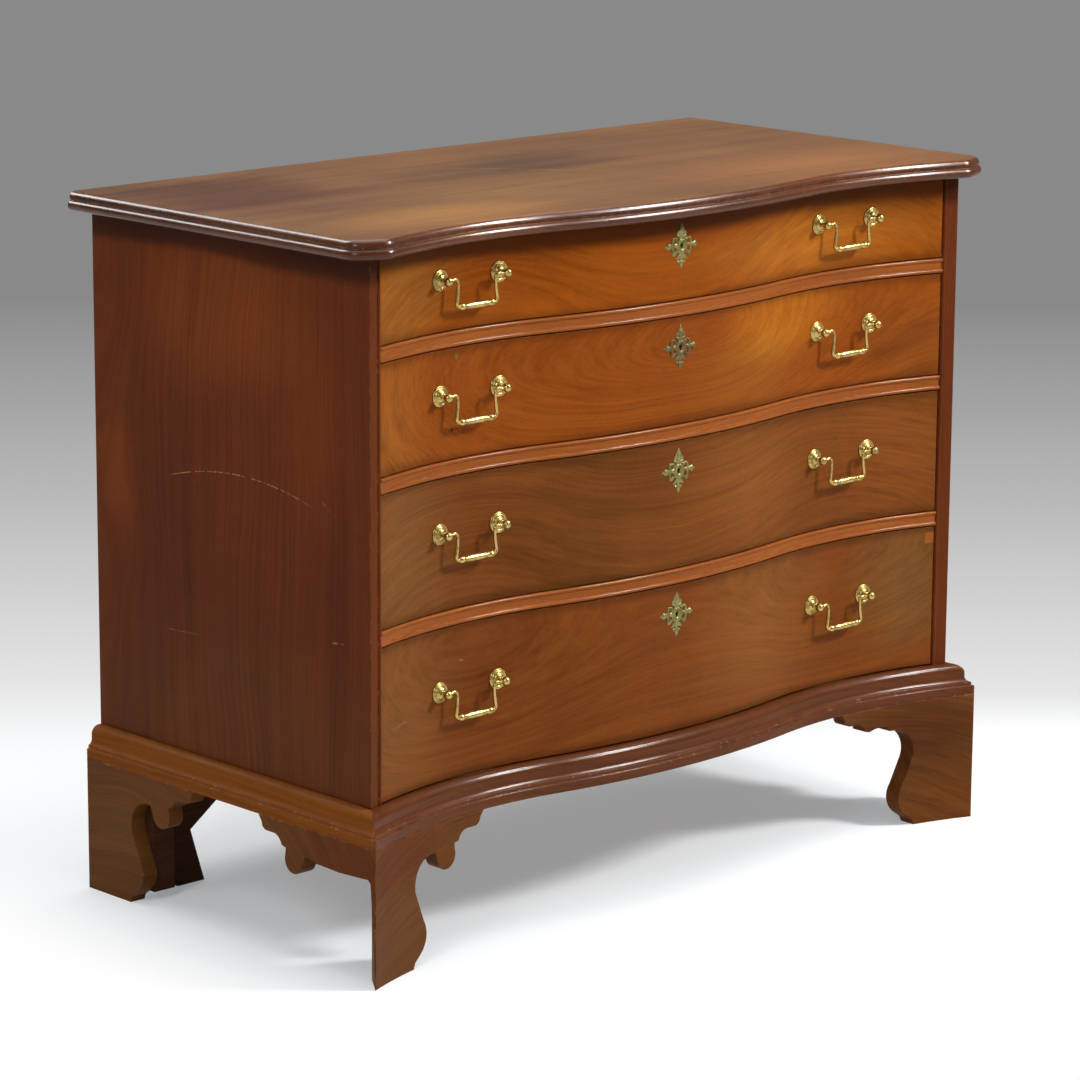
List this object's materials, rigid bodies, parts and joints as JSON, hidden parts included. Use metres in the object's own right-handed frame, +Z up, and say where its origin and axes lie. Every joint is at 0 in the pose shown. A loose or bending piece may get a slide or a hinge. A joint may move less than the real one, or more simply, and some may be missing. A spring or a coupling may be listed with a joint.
{
  "type": "chest of drawers",
  "caption": "Serpentine-fronted chest with graduated drawers, swan-neck bail handles, pierced escutcheons and scrolled bracket feet.",
  "frame": {"origin": "under the middle of the whole chest, on the floor", "axes": "+X to the right along the front, +Y from the front to the back, +Z up"},
  "size_m": [1.008, 0.5052, 0.82],
  "materials": {
    "case_mahogany": "old waxed mahogany, red-brown",
    "top_mahogany": "old waxed mahogany, worn and sun-bleached in the middle",
    "base_mahogany": "old waxed mahogany, dark with worn edges",
    "drawer_mahogany": "figured mahogany, waxed to an orange-brown",
    "oak": "dry bare wood, drawer linings",
    "pine": "dry bare wood, hidden boards",
    "brass": "polished cast brass",
    "old_brass": "tarnished cast brass, greenish",
    "iron": "dark wrought iron"
  },
  "bodies": {
    "case": {"top": "top_mahogany", "side_left": "case_mahogany", "side_right": "case_mahogany", "bottom_board": "pine", "back_boards": "pine", "divider_1": "case_mahogany", "divider_2": "case_mahogany", "divider_3": "case_mahogany", "top_rails": "pine", "drawer_runners": "pine", "drawer_stops": "pine", "base_moulding_front": "base_mahogany", "base_moulding_left": "base_mahogany", "base_moulding_right": "base_mahogany", "foot_front_left": "base_mahogany", "foot_front_right": "base_mahogany", "foot_rear_left": "base_mahogany", "foot_rear_right": "base_mahogany", "rear_braces": "pine", "glue_blocks": "pine"},
    "drawer_1": {"drawer_1_front": "drawer_mahogany", "drawer_1_sides": "oak", "drawer_1_back": "oak", "drawer_1_bottom": "oak", "drawer_1_lock": "iron", "drawer_1_escutcheon": "old_brass", "drawer_1_posts": "brass"},
    "lock_bolt_1": {"drawer_1_lock_bolt": "brass"},
    "bail_1_left": {"drawer_1_bail_left": "brass"},
    "bail_1_right": {"drawer_1_bail_right": "brass"},
    "drawer_2": {"drawer_2_front": "drawer_mahogany", "drawer_2_sides": "oak", "drawer_2_back": "oak", "drawer_2_bottom": "oak", "drawer_2_lock": "iron", "drawer_2_escutcheon": "old_brass", "drawer_2_posts": "brass"},
    "lock_bolt_2": {"drawer_2_lock_bolt": "brass"},
    "bail_2_left": {"drawer_2_bail_left": "brass"},
    "bail_2_right": {"drawer_2_bail_right": "brass"},
    "drawer_3": {"drawer_3_front": "drawer_mahogany", "drawer_3_sides": "oak", "drawer_3_back": "oak", "drawer_3_bottom": "oak", "drawer_3_lock": "iron", "drawer_3_escutcheon": "old_brass", "drawer_3_posts": "brass"},
    "lock_bolt_3": {"drawer_3_lock_bolt": "brass"},
    "bail_3_left": {"drawer_3_bail_left": "brass"},
    "bail_3_right": {"drawer_3_bail_right": "brass"},
    "drawer_4": {"drawer_4_front": "drawer_mahogany", "drawer_4_sides": "oak", "drawer_4_back": "oak", "drawer_4_bottom": "oak", "drawer_4_lock": "iron", "drawer_4_escutcheon": "old_brass", "drawer_4_posts": "brass"},
    "lock_bolt_4": {"drawer_4_lock_bolt": "brass"},
    "bail_4_left": {"drawer_4_bail_left": "brass"},
    "bail_4_right": {"drawer_4_bail_right": "brass"}
  },
  "joints": [
    {"name": "drawer_1_slide", "type": "slide", "parent": "case", "child": "drawer_1", "axis": [0, -1, 0], "range_m": [0, 0.38]},
    {"name": "lock_bolt_1_slide", "type": "slide", "parent": "drawer_1", "child": "lock_bolt_1", "axis": [0, 0, 1], "range_m": [0, 0.008]},
    {"name": "bail_1_left_hinge", "type": "hinge", "parent": "drawer_1", "child": "bail_1_left", "pos_m": [-0.301, -0.20621, 0.75692], "axis": [-1, 0, 0], "range_deg": [-15, 195]},
    {"name": "bail_1_right_hinge", "type": "hinge", "parent": "drawer_1", "child": "bail_1_right", "pos_m": [0.301, -0.20621, 0.75692], "axis": [-1, 0, 0], "range_deg": [-15, 195]},
    {"name": "drawer_2_slide", "type": "slide", "parent": "case", "child": "drawer_2", "axis": [0, -1, 0], "range_m": [0, 0.38]},
    {"name": "lock_bolt_2_slide", "type": "slide", "parent": "drawer_2", "child": "lock_bolt_2", "axis": [0, 0, 1], "range_m": [0, 0.008]},
    {"name": "bail_2_left_hinge", "type": "hinge", "parent": "drawer_2", "child": "bail_2_left", "pos_m": [-0.301, -0.20621, 0.62942], "axis": [-1, 0, 0], "range_deg": [-15, 195]},
    {"name": "bail_2_right_hinge", "type": "hinge", "parent": "drawer_2", "child": "bail_2_right", "pos_m": [0.301, -0.20621, 0.62942], "axis": [-1, 0, 0], "range_deg": [-15, 195]},
    {"name": "drawer_3_slide", "type": "slide", "parent": "case", "child": "drawer_3", "axis": [0, -1, 0], "range_m": [0, 0.38]},
    {"name": "lock_bolt_3_slide", "type": "slide", "parent": "drawer_3", "child": "lock_bolt_3", "axis": [0, 0, 1], "range_m": [0, 0.008]},
    {"name": "bail_3_left_hinge", "type": "hinge", "parent": "drawer_3", "child": "bail_3_left", "pos_m": [-0.301, -0.20621, 0.47583], "axis": [-1, 0, 0], "range_deg": [-15, 195]},
    {"name": "bail_3_right_hinge", "type": "hinge", "parent": "drawer_3", "child": "bail_3_right", "pos_m": [0.301, -0.20621, 0.47583], "axis": [-1, 0, 0], "range_deg": [-15, 195]},
    {"name": "drawer_4_slide", "type": "slide", "parent": "case", "child": "drawer_4", "axis": [0, -1, 0], "range_m": [0, 0.38]},
    {"name": "lock_bolt_4_slide", "type": "slide", "parent": "drawer_4", "child": "lock_bolt_4", "axis": [0, 0, 1], "range_m": [0, 0.008]},
    {"name": "bail_4_left_hinge", "type": "hinge", "parent": "drawer_4", "child": "bail_4_left", "pos_m": [-0.301, -0.20621, 0.29696], "axis": [-1, 0, 0], "range_deg": [-15, 195]},
    {"name": "bail_4_right_hinge", "type": "hinge", "parent": "drawer_4", "child": "bail_4_right", "pos_m": [0.301, -0.20621, 0.29696], "axis": [-1, 0, 0], "range_deg": [-15, 195]}
  ]
}
